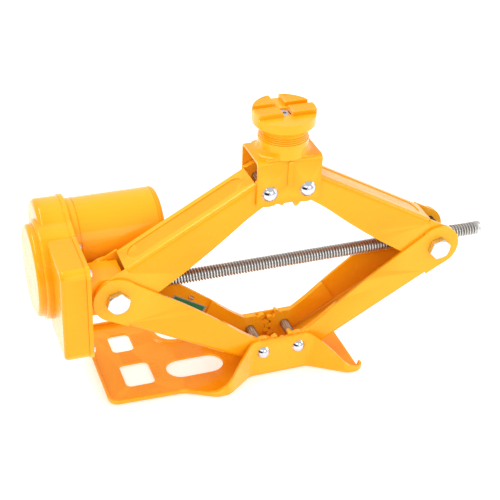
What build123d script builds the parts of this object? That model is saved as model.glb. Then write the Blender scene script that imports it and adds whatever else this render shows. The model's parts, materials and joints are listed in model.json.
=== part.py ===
"""Electric scissor car jack: a four-arm lifting linkage, its lead screw and its motor gearbox.

Frame: X along the lead screw (the free end of the screw at +X), Y to the back, Z up.
The origin lies on the floor, midway between the two lower pivots. Units are millimetres.
Every arm is drawn once in its own frame: gear pivot at the origin, side pivot on +X, web on +Z.
"""
from build123d import *
import os
from math import acos, cos, degrees, hypot, pi, radians, sin, tan

# Linkage
ARM_LENGTH = 174.0          # pivot to pivot of every arm
PIVOT_SPACING = 38.0        # between the two lower pivots, and between the two upper ones
REST_ANGLE = 31.75          # of the arms above the horizontal
LOWER_PIVOT_Z = 30.0
SHEET = 2.6                 # steel sheet of arms, base and bracket
BODY_GAP = 0.3              # between faces of pieces that turn on each other
PIN_FIT = 0.08              # radial clearance of a pin in its hole

HALF_SPACING = PIVOT_SPACING / 2
SIDE_X = HALF_SPACING + ARM_LENGTH * cos(radians(REST_ANGLE))
SIDE_Z = LOWER_PIVOT_Z + ARM_LENGTH * sin(radians(REST_ANGLE))
UPPER_PIVOT_Z = 2 * SIDE_Z - LOWER_PIVOT_Z

# Half widths of the nested channels, from the inside out
UPPER_ARM_Y = 19.2
LOWER_ARM_Y = UPPER_ARM_Y + BODY_GAP + SHEET
BRACKET_Y = LOWER_ARM_Y + 0.4
EAR_Y = LOWER_ARM_Y + BODY_GAP + SHEET

# Arms
EAR_RADIUS = 23.0           # round end at the side pivot
SIDE_DEPTH = 22.5           # half height of the channel near the side pivot
GEAR_DEPTH = 15.6           # half height near the gear end
WEB_FROM_GEAR = 6.0         # web starts this far from the gear pivot
WEB_FROM_SIDE = 24.0        # and stops this far from the side pivot
BEND_RADIUS = 5.0
BEAD_DEPTH = 0.8            # flat bead pressed into each web
BEAD_HALF_WIDTH = 10.0
BEAD_FROM_END = 8.0
DOUBLER_LENGTH = 57.0       # second layer behind the teeth
TEETH_AROUND = 12           # a full circle would have this many teeth
MESH_PRESSURE_ANGLE = 25.0
TEETH_THINNING = 0.36       # off each tooth at the pitch circle
LABEL_SCREW = (80.5, 10.5)  # along and above the pivot line of the lower left arm
LABEL_SCREW_RADIUS = 1.5

# Pins
LOWER_RIVET = dict(shank=5.0, head=7.0, rise=4.6)
UPPER_RIVET = dict(shank=5.5, head=8.0, rise=5.4)
BOLT_RADIUS = 6.0
BOLT_ACROSS_FLATS = 20.0
BOLT_HEAD = 6.6
BOLT_TIP_Y = 8.7

# Lead screw, Tr 14 x 3
SCREW_RADIUS = 7.0
SCREW_PITCH = 3.0
THREAD_DEPTH = 1.5
SCREW_TIP_X = 226.0
THREAD_START_X = -152.0

# Power unit, measured from the gearbox plate towards the ends
PLATE_INNER_X = -194.9
PLATE_OUTER_X = -199.0
MOTOR_Y = 69.0
MOTOR_Z = 143.0
MOTOR_COVER_RADIUS = 38.0
MOTOR_COVER_END_X = -103.0
STAGE_TWO_MODULE = 1.25
FINAL_TEETH = 54
SMALL_TEETH = 12
STAGE_ONE_MODULE = 0.8
LARGE_TEETH = 66
PINION_TEETH = 12

REACH = 60.0                # cutters run this far, past every piece they cut

os.makedirs("parts", exist_ok=True)
NODES = {}


def keep(name, shape):
    """Write one node as a STEP file and remember it by name."""
    shape.label = name
    NODES[name] = shape
    export_step(shape, f"parts/{name}.step")


def plate_y(sketch, y_from, y_to):
    """Prism of a side-view sketch, drawn in X and Z, between two Y planes."""
    return Pos(0, y_to, 0) * extrude(Plane.XZ * sketch, y_to - y_from)


def both_sides(sketch, y_from, y_to):
    """The same side-view prism at the front and at the back."""
    return plate_y(sketch, y_from, y_to) + plate_y(sketch, -y_to, -y_from)


def rod_x(radius, x_from, x_to, y=0.0, z=0.0):
    """Cylinder along X between two planes."""
    length = x_to - x_from
    return Pos((x_from + x_to) / 2, y, z) * Rot(0, 90, 0) * Cylinder(radius, length)


def rod_y(radius, y_from, y_to, x=0.0, z=0.0):
    """Cylinder along Y between two planes."""
    length = y_to - y_from
    return Pos(x, (y_from + y_to) / 2, z) * Rot(90, 0, 0) * Cylinder(radius, length)


def rod_z(radius, z_from, z_to, x=0.0, y=0.0):
    """Cylinder along Z between two planes."""
    return Pos(x, y, (z_from + z_to) / 2) * Cylinder(radius, z_to - z_from)


def tube_x(outer, inner, x_from, x_to, y=0.0, z=0.0):
    """Tube along X."""
    return rod_x(outer, x_from, x_to, y, z) - rod_x(inner, x_from - 1, x_to + 1, y, z)


def block(x_from, x_to, y_from, y_to, z_from, z_to):
    """Box given by its six planes."""
    size = (x_to - x_from, y_to - y_from, z_to - z_from)
    centre = ((x_from + x_to) / 2, (y_from + y_to) / 2, (z_from + z_to) / 2)
    return Pos(*centre) * Box(*size)


def polar(radius, angle_deg):
    """Point of a plane at a radius and an angle."""
    return (radius * cos(radians(angle_deg)), radius * sin(radians(angle_deg)))


# --- Teeth -------------------------------------------------------------------------------


def involute(angle):
    """Involute function of an angle in radians."""
    return tan(angle) - angle


def tooth_points(pitch_radius, teeth, tip, root, pressure_deg, thinning, centre_deg, steps=4):
    """Outline of one tooth from its left root to its right root, as points of a plane."""
    base = pitch_radius * cos(radians(pressure_deg))
    half_pitch = pi / (2 * teeth) - thinning / (2 * pitch_radius)
    start = max(base, root)
    flank = []
    for step in range(steps + 1):
        radius = start + (tip - start) * step / steps
        half = half_pitch + involute(radians(pressure_deg)) - involute(acos(min(1.0, base / radius)))
        flank.append((radius, degrees(half)))
    if root < base:
        flank.insert(0, (root, flank[0][1]))
    rising = [polar(radius, centre_deg - half) for radius, half in flank]
    falling = [polar(radius, centre_deg + half) for radius, half in reversed(flank)]
    return rising + falling


def spur_gear(module, teeth, x_from, x_to, centre_deg=0.0, thinning=0.1, pressure_deg=20.0):
    """Spur gear along X about its own axis, with one tooth at centre_deg from +Y towards +Z."""
    pitch_radius = module * teeth / 2
    points = []
    for index in range(teeth):
        centre = centre_deg + 360.0 * index / teeth
        points += tooth_points(pitch_radius, teeth, pitch_radius + 0.9 * module,
                               pitch_radius - 1.2 * module, pressure_deg, thinning, centre, 3)
    outline = make_face(Polyline(*points, close=True))
    return Pos(x_from, 0, 0) * extrude(Plane.YZ * outline, x_to - x_from)


# --- Arms --------------------------------------------------------------------------------

PITCH_RADIUS = HALF_SPACING
MESH_MODULE = 2 * PITCH_RADIUS / TEETH_AROUND
TOOTH_TIP = PITCH_RADIUS + 0.8 * MESH_MODULE
TOOTH_STEP = 360.0 / TEETH_AROUND
CONTACT_ANGLE = 180.0 + REST_ANGLE      # where the two gear ends touch, in the arm's frame
RIGHT_TEETH = 5
LEFT_TEETH = 4
CHANNEL_SLOPE = degrees((SIDE_DEPTH - GEAR_DEPTH) / ARM_LENGTH)
WAIST = [(3.6, -10.2), (23.0, -10.4), (34.0, -11.4), (48.0, -13.4),     # free edge of the flanges,
         (69.0, -16.2), (90.0, -18.4), (120.0, -20.6)]                  # from the teeth outwards


def half_depth(along):
    """Half height of the tapering channel at a distance from the gear pivot."""
    return GEAR_DEPTH + (SIDE_DEPTH - GEAR_DEPTH) * along / ARM_LENGTH


def taper(start, end):
    """Side view of the tapering channel between two places along the arm."""
    points = [(start, -half_depth(start)), (end, -half_depth(end)),
              (end, half_depth(end)), (start, half_depth(start))]
    return make_face(Polyline(*points, close=True))


def long_edges(solid):
    """The two long edges of the channel where web and flanges meet."""
    return [edge for edge in solid.edges() if edge.length > ARM_LENGTH / 2 and edge.center().Z > 0]


def pivot_hole(radius, along):
    """Hole through both flanges."""
    return rod_y(radius + PIN_FIT, -REACH, REACH, along, 0)


def toothed_end(first_tooth, count):
    """Round gear end in side view: the blank, its teeth and the neck to the channel."""
    end = Circle(GEAR_DEPTH) + taper(0, WEB_FROM_GEAR + 1)
    for index in range(count):
        centre = first_tooth + index * TOOTH_STEP
        points = tooth_points(PITCH_RADIUS, TEETH_AROUND, TOOTH_TIP, GEAR_DEPTH - 2.0,
                              MESH_PRESSURE_ANGLE, TEETH_THINNING, centre)
        end += make_face(Polyline(*points, close=True))
    return end


def waist():
    """Side view of what the flanges' free edges lose where they narrow towards the teeth."""
    (start, _), (end, _) = WAIST[0], WAIST[-1]
    below = Polyline(WAIST[-1], (end, -REACH), (start, -REACH), WAIST[0])
    return make_face(Spline(*WAIST) + below) - Circle(GEAR_DEPTH)


def arm(half_width, first_tooth, count, gear_pin):
    """One arm: bent channel, round ears at the side pivot, doubled and toothed gear ends."""
    web_start = WEB_FROM_GEAR
    web_end = ARM_LENGTH - WEB_FROM_SIDE
    inside = half_width - SHEET
    outer = plate_y(taper(web_start, web_end), -half_width, half_width)
    outer = fillet(long_edges(outer), BEND_RADIUS)
    slot = Pos(0, 0, -SHEET) * plate_y(taper(web_start - 1, web_end + 1), -inside, inside)
    slot = fillet(long_edges(slot), BEND_RADIUS - SHEET)
    body = outer - slot - block(0, ARM_LENGTH, -inside, inside, -REACH, 0)

    side_ear = Pos(ARM_LENGTH, 0) * Circle(EAR_RADIUS) + taper(web_end - 1, ARM_LENGTH)
    body += both_sides(side_ear, inside, half_width)
    gear_end = toothed_end(first_tooth, count)
    doubler = gear_end + taper(WEB_FROM_GEAR, DOUBLER_LENGTH)
    clear_of_bend = (DOUBLER_LENGTH / 2 + WEB_FROM_GEAR - 1, REACH / 2 + GEAR_DEPTH - BEND_RADIUS)
    doubler -= Pos(*clear_of_bend) * Rectangle(DOUBLER_LENGTH, REACH)
    body += both_sides(gear_end, inside, half_width)
    body += both_sides(doubler, inside - SHEET, inside)
    body -= plate_y(waist(), -REACH, REACH)

    middle = (web_start + web_end) / 2
    bead = extrude(SlotOverall(web_end - web_start - 2 * BEAD_FROM_END, 2 * BEAD_HALF_WIDTH), REACH)
    body -= Pos(middle, 0, half_depth(middle) - BEAD_DEPTH) * Rot(0, -CHANNEL_SLOPE, 0) * bead
    body -= pivot_hole(gear_pin, 0)
    body -= pivot_hole(BOLT_RADIUS, ARM_LENGTH)
    return body


def place_arm(shape, right, lower):
    """Turn an arm from its own frame to its place in the linkage at rest."""
    if lower:
        shape = mirror(shape, about=Plane.XY)
    shape = Rot(0, -REST_ANGLE if lower else REST_ANGLE, 0) * shape
    if not right:
        shape = mirror(shape, about=Plane.YZ)
    x = HALF_SPACING if right else -HALF_SPACING
    return Pos(x, 0, LOWER_PIVOT_Z if lower else UPPER_PIVOT_Z) * shape


def make_arms():
    """Four arms. On each pair the right arm has a tooth where the left one has a gap."""
    tooth_first = CONTACT_ANGLE - 2 * TOOTH_STEP
    gap_first = CONTACT_ANGLE - 1.5 * TOOTH_STEP
    for lower, width, pin in ((True, LOWER_ARM_Y, LOWER_RIVET["shank"]),
                              (False, UPPER_ARM_Y, UPPER_RIVET["shank"])):
        level = "lower" if lower else "upper"
        right = arm(width, tooth_first, RIGHT_TEETH, pin)
        left = arm(width, gap_first, LEFT_TEETH, pin)
        if lower:
            along, up = LABEL_SCREW
            left -= rod_y(LABEL_SCREW_RADIUS, 0, REACH, along, -up)
        keep(f"{level}_arm_right", place_arm(right, True, lower))
        keep(f"{level}_arm_left", place_arm(left, False, lower))


# --- Base --------------------------------------------------------------------------------

BASE_LEFT = -179.5
BASE_RIGHT = 79.5
BASE_BACK = 104.0
TAB_END = BASE_RIGHT + 4.0
BASE_TAB_HALF = 38.0        # half the width of the open right end between its two tabs
RIM = 7.0
RIM_BEND = 4.5
BASE_OUTLINE = [            # corner points with their radii, anticlockwise from the front left
    (BASE_LEFT, -28.0, 10), (-104.0, -30.5, 20), (-74.0, -46.5, 14), (-60.0, -46.0, 12),
    (-32.0, -EAR_Y, 14), (29.0, -EAR_Y, 10), (66.0, -49.0, 16), (TAB_END, -49.0, 9),
    (TAB_END, 49.0, 9), (66.0, 49.0, 16), (29.0, EAR_Y, 10), (-32.0, EAR_Y, 14),
    (-60.0, 47.0, 14), (-52.0, 62.0, 12), (-52.0, BASE_BACK, 16), (BASE_LEFT, BASE_BACK, 14)]
EAR_TOP = 44.5
EAR_PROFILE = [(-200, RIM), (-92, RIM), (-74, 9.0), (-60, 18.5), (-46, 31.5), (-34, 41.0), (-22, EAR_TOP),
               (24, EAR_TOP), (35, 41.0), (46, 32.0), (57, 21.0), (68, 11.0), (80, 7.5), (100, RIM)]
WINDOWS = ((-156.0, -133.0, 53.0, 83.5), (-156.0, -126.0, -5.0, 32.0))
WINDOW_CORNER = 5.0
SLOT_CENTRE = (-81.0, 9.5)
SLOT_SIZE = (60.0, 30.0)
BIG_HOLE = (-87.0, 74.0)
HOLE_RADIUS = 19.0
HOLE_LIP = 2.2              # the sheet round the hole is pushed up by this much
HOLE_FLAT = HOLE_RADIUS + 4.0
HOLE_SKIRT = HOLE_RADIUS + 9.0


def rounded_outline(points, inset=0.0):
    """Closed face through corner points, each rounded by its own radius, and drawn in by inset."""
    corners = [(x, y) for x, y, radius in points]
    face = make_face(Polyline(*corners, close=True))
    for x, y, radius in points:
        nearest = sorted(face.vertices(), key=lambda v: hypot(v.X - x, v.Y - y))[0]
        face = fillet(nearest, radius)
    return offset(face, -inset) if inset else face


def base_plate():
    """Pressed tray: flat floor, upturned rim that rises into two ears, and lightening holes."""
    outer = extrude(rounded_outline(BASE_OUTLINE), REACH)
    outer = fillet(outer.faces().sort_by(Axis.Z)[0].edges(), RIM_BEND)
    inner = Pos(0, 0, SHEET) * extrude(rounded_outline(BASE_OUTLINE, SHEET), REACH)
    inner = fillet(inner.faces().sort_by(Axis.Z)[0].edges(), RIM_BEND - SHEET)
    tray = outer - inner

    flat = Line(EAR_PROFILE[0], EAR_PROFILE[1])
    rise = Spline(*EAR_PROFILE[1:7], tangents=[(1, 0), (1, 0)])
    top = Line(EAR_PROFILE[6], EAR_PROFILE[7])
    fall = Spline(*EAR_PROFILE[7:], tangents=[(1, 0), (1, 0)])
    (left, _), (right, _) = EAR_PROFILE[0], EAR_PROFILE[-1]
    under = Polyline((right, RIM), (right, -1), (left, -1), (left, RIM))
    profile = make_face(flat + rise + top + fall + under)
    tray = tray & plate_y(profile, -2 * REACH, 2 * REACH)
    tray -= block(BASE_RIGHT - RIM_BEND, TAB_END, -BASE_TAB_HALF, BASE_TAB_HALF, SHEET, REACH)
    tray -= block(BASE_RIGHT, TAB_END, -BASE_TAB_HALF, BASE_TAB_HALF, -1, REACH)

    for window in WINDOWS:
        hole = block(*window, -1, REACH)
        tray -= fillet(hole.edges().filter_by(Axis.Z), WINDOW_CORNER)
    tray -= extrude(Pos(*SLOT_CENTRE, -1) * SlotOverall(*SLOT_SIZE), REACH)
    return raised_hole(tray)


def raised_hole(tray):
    """Large round hole with the sheet round it pushed up, and the holes of the two rivets."""
    lip = [(HOLE_RADIUS, 0), (HOLE_SKIRT, 0), (HOLE_SKIRT, SHEET),
           (HOLE_FLAT, SHEET + HOLE_LIP), (HOLE_RADIUS, SHEET + HOLE_LIP)]
    under_lip = [(0, -1), (HOLE_SKIRT - 1, -1), (HOLE_SKIRT - 1, 0),
                 (HOLE_FLAT - 0.6, HOLE_LIP), (0, HOLE_LIP)]
    hole = Pos(*BIG_HOLE, 0)
    tray += hole * revolve(Plane.XZ * make_face(Polyline(*lip, close=True)), Axis.Z)
    tray -= hole * revolve(Plane.XZ * make_face(Polyline(*under_lip, close=True)), Axis.Z)
    tray -= hole * rod_z(HOLE_RADIUS, -1, REACH)
    for x in (-HALF_SPACING, HALF_SPACING):
        tray -= rod_y(LOWER_RIVET["shank"], -REACH, REACH, x, LOWER_PIVOT_Z)
    return tray


def rivet(x, z, seat_y, sizes):
    """Solid rivet across the linkage, with a domed head on each outer face."""
    dome_radius = (sizes["head"] ** 2 + sizes["rise"] ** 2) / (2 * sizes["rise"])
    pin = rod_y(sizes["shank"], -seat_y, seat_y)
    outside = block(-REACH, REACH, seat_y, seat_y + REACH, -REACH, REACH)
    dome = (Pos(0, seat_y + sizes["rise"] - dome_radius, 0) * Sphere(dome_radius)) & outside
    pin += dome + mirror(dome, about=Plane.XZ)
    return Pos(x, 0, z) * pin


def make_base():
    """Base plate and the two rivets that carry the lower arms."""
    keep("base_plate", base_plate())
    for side, x in (("left", -HALF_SPACING), ("right", HALF_SPACING)):
        keep(f"lower_rivet_{side}", rivet(x, LOWER_PIVOT_Z, EAR_Y, LOWER_RIVET))


# --- Top bracket and saddle --------------------------------------------------------------

PLATE_TOP_Z = UPPER_PIVOT_Z + 34.5
BRACKET_HALF = 32.0
BRACKET_BOTTOM_Z = UPPER_PIVOT_Z - 12.0
COLLAR_TOP_Z = PLATE_TOP_Z + 14.0
COLLAR_RADIUS = 24.0
COLLAR_BORE = 21.4
SPIGOT_RADIUS = 15.0
PAD_RADIUS = 29.8
SLOT_FLOOR_Z = PLATE_TOP_Z + 37.5
PAD_TOP_Z = SLOT_FLOOR_Z + 4.5
SADDLE_NECK = COLLAR_RADIUS - 0.6
NECK_GROOVES = 3
NECK_PITCH = 2.1
NECK_HEIGHT = 8.0
PAD_TAPER_HEIGHT = 6.5
SLOT_ACROSS_HALF = 4.8      # the slot that runs along Y
SLOT_ALONG = (4.5, 11.5)    # the slot that runs along X lies behind the middle
FRONT_LEDGE_Y = -10.0       # in front of this the pad is cut down to the slot floor
RIVET_RADIUS = 4.0
RIVET_HEAD_RADIUS = 7.4
RIVET_HEAD_TOP = SLOT_FLOOR_Z - 0.9
RIVET_HEAD_FOOT = SLOT_FLOOR_Z - 3.4
WASHER_FOOT = PLATE_TOP_Z - SHEET - 2.4
RIB_DROP = 15.0             # middle of the stiffening rib below the top plate
RIB_LENGTH = 26.0
RIB_WIDTH = 5.0
RIB_HEIGHT = 1.4
BRACKET_CORNER = 2.5


def top_edges(solid):
    """Edges along X of the highest face."""
    return solid.faces().sort_by(Axis.Z)[-1].edges().filter_by(Axis.X)


def top_bracket():
    """Bent cap that straddles the upper arms, with a drawn collar and a stiffening rib each side."""
    inside = BRACKET_Y - SHEET
    outer = block(-BRACKET_HALF, BRACKET_HALF, -BRACKET_Y, BRACKET_Y, BRACKET_BOTTOM_Z, PLATE_TOP_Z)
    outer = fillet(top_edges(outer), BEND_RADIUS)
    inner = block(-BRACKET_HALF, BRACKET_HALF, -inside, inside, BRACKET_BOTTOM_Z, PLATE_TOP_Z - SHEET)
    inner = fillet(top_edges(inner), BEND_RADIUS - SHEET)

    flare = [(COLLAR_RADIUS - 1, -1), (COLLAR_RADIUS + 7, -1), (COLLAR_RADIUS + 7, 0), (COLLAR_RADIUS + 3, 1),
             (COLLAR_RADIUS + 1, 3), (COLLAR_RADIUS, 7), (COLLAR_RADIUS - 1, 7)]
    flare = Pos(0, 0, PLATE_TOP_Z) * revolve(Plane.XZ * make_face(Polyline(*flare, close=True)), Axis.Z)
    flare = flare & block(-BRACKET_HALF, BRACKET_HALF, -BRACKET_Y + 1, BRACKET_Y - 1, 0, COLLAR_TOP_Z)
    rib = Pos(0, PLATE_TOP_Z - RIB_DROP) * SlotOverall(RIB_LENGTH, RIB_WIDTH, rotation=90)
    bracket = outer - inner + both_sides(rib, BRACKET_Y - 0.5, BRACKET_Y + RIB_HEIGHT)
    bracket += rod_z(COLLAR_RADIUS, PLATE_TOP_Z - 1, COLLAR_TOP_Z) + flare
    bracket -= rod_z(COLLAR_BORE, UPPER_PIVOT_Z + UPPER_RIVET["shank"], COLLAR_TOP_Z)
    for x in (-HALF_SPACING, HALF_SPACING):
        bracket -= rod_y(UPPER_RIVET["shank"], -REACH, REACH, x, UPPER_PIVOT_Z)
    corners = [e for e in bracket.edges().filter_by(Axis.Y) if e.center().Z < BRACKET_BOTTOM_Z + 1]
    return fillet(corners, BRACKET_CORNER)


def saddle_pad():
    """Round lifting pad: tapered underside, grooved neck, spigot, and four lugs round a cross slot."""
    neck_z = COLLAR_TOP_Z + BODY_GAP
    profile = [(0, PLATE_TOP_Z - SHEET), (SPIGOT_RADIUS, PLATE_TOP_Z - SHEET), (SPIGOT_RADIUS, neck_z),
               (SADDLE_NECK, neck_z)]
    for index in range(NECK_GROOVES):
        low = neck_z + 1.4 + NECK_PITCH * index
        profile += [(SADDLE_NECK, low), (SADDLE_NECK - 0.7, low + 0.4),
                    (SADDLE_NECK - 0.7, low + 0.8), (SADDLE_NECK, low + 1.2)]
    taper_z = neck_z + NECK_HEIGHT
    profile += [(SADDLE_NECK, taper_z), (PAD_RADIUS, taper_z + PAD_TAPER_HEIGHT), (PAD_RADIUS, PAD_TOP_Z),
                (0, PAD_TOP_Z)]
    pad = revolve(Plane.XZ * make_face(Polyline(*profile, close=True)), Axis.Z)
    pad -= block(-SLOT_ACROSS_HALF, SLOT_ACROSS_HALF, -REACH, REACH, SLOT_FLOOR_Z, PAD_TOP_Z)
    pad -= block(-REACH, REACH, *SLOT_ALONG, SLOT_FLOOR_Z, PAD_TOP_Z)
    pad -= block(-REACH, REACH, -REACH, FRONT_LEDGE_Y, SLOT_FLOOR_Z, PAD_TOP_Z)
    pad = chamfer([e for e in pad.edges() if e.center().Z > PAD_TOP_Z - 0.01], 0.8)
    pad -= rod_z(RIVET_RADIUS, 0, PAD_TOP_Z)
    return pad - rod_z(RIVET_HEAD_RADIUS + 0.1, RIVET_HEAD_FOOT, SLOT_FLOOR_Z)


def saddle_rivet():
    """Rivet that holds the pad in the collar and lets it turn."""
    rivet_foot = WASHER_FOOT - 3.0
    head = rod_z(RIVET_HEAD_RADIUS, RIVET_HEAD_FOOT, RIVET_HEAD_TOP)
    head = chamfer(head.faces().sort_by(Axis.Z)[-1].edges(), 0.8)
    hollow = rod_z(RIVET_RADIUS / 2, SLOT_FLOOR_Z - 5, SLOT_FLOOR_Z)
    foot = rod_z(RIVET_HEAD_RADIUS, rivet_foot, WASHER_FOOT)
    return rod_z(RIVET_RADIUS, rivet_foot, RIVET_HEAD_FOOT) + head + foot - hollow


def make_top():
    """Bracket, its rivets and bush, and the turning saddle."""
    keep("top_bracket", top_bracket())
    for side, x in (("left", -HALF_SPACING), ("right", HALF_SPACING)):
        keep(f"upper_rivet_{side}", rivet(x, UPPER_PIVOT_Z, BRACKET_Y, UPPER_RIVET))
    bush = rod_z(COLLAR_BORE, PLATE_TOP_Z - SHEET, COLLAR_TOP_Z - 0.5)
    keep("saddle_bush", bush - rod_z(SPIGOT_RADIUS + PIN_FIT, 0, COLLAR_TOP_Z))
    keep("saddle_pad", saddle_pad())
    keep("saddle_rivet", saddle_rivet())
    washer = rod_z(COLLAR_BORE - 2, WASHER_FOOT, PLATE_TOP_Z - SHEET - BODY_GAP)
    washer += rod_z(SPIGOT_RADIUS - 0.5, WASHER_FOOT, PLATE_TOP_Z - SHEET)
    keep("saddle_washer", washer - rod_z(RIVET_RADIUS, 0, PLATE_TOP_Z))


# --- Side pivots and lead screw ----------------------------------------------------------

BOLT_SEAT_Y = LOWER_ARM_Y + BODY_GAP
BOLT_TURN = 14.0            # of the hexagon, in its socket's last position
BLOCK_HALF_X = 11.5
BLOCK_HALF_Z = 13.0
BLOCK_HALF_Y = UPPER_ARM_Y - SHEET - BODY_GAP
BLOCK_CHAMFER = 1.5
SHANK_BORE = 7.3
NUT_BORE = SCREW_RADIUS + 0.25
FRAME_TOP_Z = SIDE_Z + 22.4
FRAME_BOTTOM_Z = SIDE_Z - 16.0
FRAME_INNER_Y = BLOCK_HALF_Y - SHEET
FRAME_EYE_RADIUS = 16.0
FRAME_TOP_END_X = -SIDE_X + 8.5
SCREW_END_X = -215.0
GEAR_SEAT_RADIUS = 5.0
GEAR_SEAT_LENGTH = 14.0
THREAD_ROOT_START = 0.35    # within each turn of the thread, measured along X
THREAD_ROOT_END = 1.35
THREAD_CREST_START = 1.85
RACE_RADIUS = 12.5
RACE_THICKNESS = 2.4
BEARING_GAP = 2.7           # between the two races, where the balls run
BALL_RADIUS = 1.28
BALL_CIRCLE = 9.8
BALLS = 10
COLLAR_FACE_X = -186.0
COLLAR_THICKNESS = 7.5
COLLAR_PIN_RADIUS = 2.0


def hex_bolt(x, front):
    """Shoulder bolt that a lower and an upper arm turn on, screwed into the block between them."""
    hexagon = RegularPolygon(BOLT_ACROSS_FLATS / 2, 6, major_radius=False, rotation=BOLT_TURN)
    top = BOLT_SEAT_Y + BOLT_HEAD
    head = plate_y(hexagon, BOLT_SEAT_Y, top)
    turned = [(0, BOLT_SEAT_Y), (12.2, BOLT_SEAT_Y), (12.2, top - 1.4), (9.6, top), (0, top)]
    head = head & revolve(make_face(Polyline(*turned, close=True)), Axis.Y)
    bolt = Pos(x, 0, SIDE_Z) * (head + rod_y(BOLT_RADIUS, BOLT_TIP_Y, BOLT_SEAT_Y))
    return mirror(bolt, about=Plane.XZ) if front else bolt


def pivot_block(x, half_y, bore):
    """Steel block across a side pivot, bored for the screw and tapped for its two bolts."""
    shape = block(x - BLOCK_HALF_X, x + BLOCK_HALF_X, -half_y, half_y,
                  SIDE_Z - BLOCK_HALF_Z, SIDE_Z + BLOCK_HALF_Z)
    shape = chamfer(shape.edges().filter_by(Axis.Y), BLOCK_CHAMFER)
    shape -= rod_x(bore, x - REACH, x + REACH, 0, SIDE_Z)
    shape -= rod_y(BOLT_RADIUS, BOLT_TIP_Y, REACH, x, SIDE_Z)
    return shape - rod_y(BOLT_RADIUS, -REACH, -BOLT_TIP_Y, x, SIDE_Z)


def lead_screw():
    """Screw with a ringed thread, a plain shank through the bearing and a turned-down gear seat."""
    root = SCREW_RADIUS - THREAD_DEPTH
    shank = SCREW_RADIUS - 0.1
    seat_end = SCREW_END_X + GEAR_SEAT_LENGTH
    points = [(SCREW_END_X, 0), (SCREW_END_X, GEAR_SEAT_RADIUS), (seat_end, GEAR_SEAT_RADIUS),
              (seat_end, shank), (THREAD_START_X, shank)]
    turns = int((SCREW_TIP_X - THREAD_START_X - 2) / SCREW_PITCH)
    for turn in range(turns):
        x = THREAD_START_X + turn * SCREW_PITCH
        points += [(x + THREAD_ROOT_START, root), (x + THREAD_ROOT_END, root),
                   (x + THREAD_CREST_START, SCREW_RADIUS), (x + SCREW_PITCH, SCREW_RADIUS)]
    points += [(SCREW_TIP_X - 1.2, SCREW_RADIUS), (SCREW_TIP_X, SCREW_RADIUS - 1.2), (SCREW_TIP_X, 0)]
    screw = revolve(Plane.XZ * make_face(Polyline(*points, close=True)), Axis.X)
    return Pos(0, 0, SIDE_Z) * screw


def thrust_bearing():
    """Two races with caged balls between them, behind the left block."""
    fixed_back = -SIDE_X - BLOCK_HALF_X
    fixed_face = fixed_back - RACE_THICKNESS
    keep("thrust_race_fixed", tube_x(RACE_RADIUS, SHANK_BORE, fixed_face, fixed_back, 0, SIDE_Z))
    keep("thrust_race_turning",
         tube_x(RACE_RADIUS, SCREW_RADIUS, COLLAR_FACE_X, fixed_face - BEARING_GAP, 0, SIDE_Z))
    middle = fixed_face - BEARING_GAP / 2
    cage = tube_x(RACE_RADIUS - 0.5, SHANK_BORE + 0.2, middle - 0.55, middle + 0.55, 0, SIDE_Z)
    balls = Part()
    for index in range(BALLS):
        y, z = polar(BALL_CIRCLE, 360.0 / BALLS * index)
        balls += Pos(middle, y, SIDE_Z + z) * Sphere(BALL_RADIUS)
        cage -= rod_x(BALL_RADIUS + 0.12, middle - 1, middle + 1, y, SIDE_Z + z)
    keep("thrust_cage", cage)
    keep("thrust_balls", balls)


def make_screw():
    """Lead screw, the pinned collar that it pushes with, and the thrust bearing."""
    keep("lead_screw", lead_screw())
    thrust_bearing()
    collar = tube_x(RACE_RADIUS, SCREW_RADIUS, COLLAR_FACE_X - COLLAR_THICKNESS, COLLAR_FACE_X, 0, SIDE_Z)
    pin_x = COLLAR_FACE_X - COLLAR_THICKNESS / 2
    keep("thrust_collar", collar - rod_z(COLLAR_PIN_RADIUS, SIDE_Z - REACH, SIDE_Z + REACH, pin_x))
    pins = Part()
    for sign in (-1, 1):
        middle = SIDE_Z + sign * (SCREW_RADIUS + RACE_RADIUS) / 2
        half = (RACE_RADIUS - SCREW_RADIUS) / 2 - 0.1
        pins += rod_z(COLLAR_PIN_RADIUS, middle - half, middle + half, pin_x)
    keep("collar_pins", pins)


def trunnion_frame():
    """Bent channel that carries the gearbox on the left block and the two left bolts."""
    reach = -PLATE_INNER_X - SIDE_X
    side = Pos(-SIDE_X, SIDE_Z) * Circle(FRAME_EYE_RADIUS)
    side += Pos((PLATE_INNER_X - SIDE_X) / 2, (FRAME_TOP_Z + FRAME_BOTTOM_Z) / 2) * Rectangle(
        reach, FRAME_TOP_Z - FRAME_BOTTOM_Z)
    frame = both_sides(side, FRAME_INNER_Y, BLOCK_HALF_Y)
    top_span = (PLATE_INNER_X, FRAME_TOP_END_X)
    top = block(*top_span, -BLOCK_HALF_Y, BLOCK_HALF_Y, FRAME_TOP_Z - 2 * SHEET, FRAME_TOP_Z)
    frame += fillet(top_edges(top), SHEET)
    hollow = block(*top_span, -FRAME_INNER_Y, FRAME_INNER_Y, SIDE_Z, FRAME_TOP_Z - SHEET)
    frame = (frame - hollow) & block(PLATE_INNER_X, 0, -REACH, REACH, FRAME_BOTTOM_Z, FRAME_TOP_Z)
    return frame - rod_y(BOLT_RADIUS, -REACH, REACH, -SIDE_X, SIDE_Z)


def make_side_pivots():
    """Blocks, bolts and the gearbox frame at the two side pivots."""
    keep("trunnion_block_left", pivot_block(-SIDE_X, FRAME_INNER_Y, SHANK_BORE))
    keep("trunnion_nut_right", pivot_block(SIDE_X, BLOCK_HALF_Y, NUT_BORE))
    for side, x in (("left", -SIDE_X), ("right", SIDE_X)):
        keep(f"side_bolt_{side}_front", hex_bolt(x, True))
        keep(f"side_bolt_{side}_back", hex_bolt(x, False))
    keep("trunnion_frame", trunnion_frame())


# --- Gearbox -----------------------------------------------------------------------------

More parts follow.
